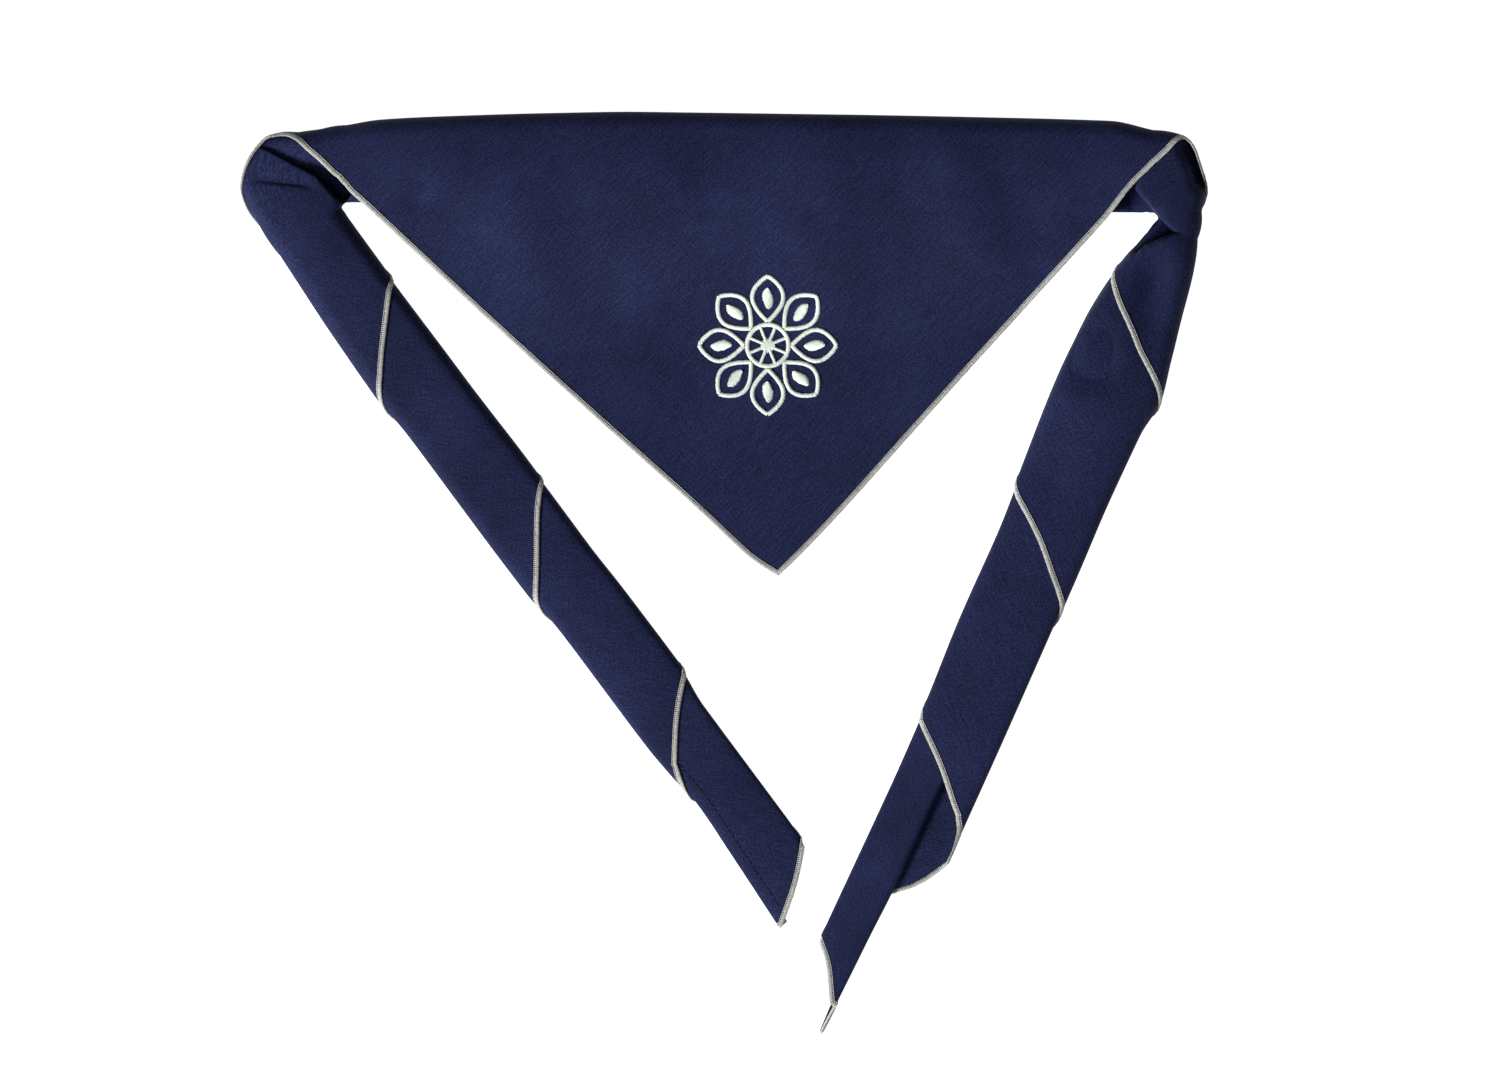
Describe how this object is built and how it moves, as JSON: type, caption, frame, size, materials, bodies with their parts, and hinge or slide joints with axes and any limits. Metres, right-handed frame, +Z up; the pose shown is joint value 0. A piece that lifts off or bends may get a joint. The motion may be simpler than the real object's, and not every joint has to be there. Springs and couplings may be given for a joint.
{
  "type": "triangular neckerchief, rolled and laid flat",
  "caption": "Navy cotton triangular neckerchief with a rolled long side, overlocked grey edging and an embroidered rosette, laid flat.",
  "frame": {"origin": "centre of the bounding box at its lowest face, which is the surface that the neckerchief lies on", "axes": "+Z up; +X along the rolled neck stretch, towards the shorter-bent right corner seen from above; +Y away from the flap's point"},
  "size_m": [0.4656, 0.4408, 0.0178],
  "materials": {
    "navy_cotton": "matte",
    "grey_thread": "matte",
    "white_thread": "satin"
  },
  "bodies": {
    "root": {"cloth": "navy_cotton", "edging": "grey_thread", "embroidered_rosette": "white_thread"}
  },
  "joints": []
}
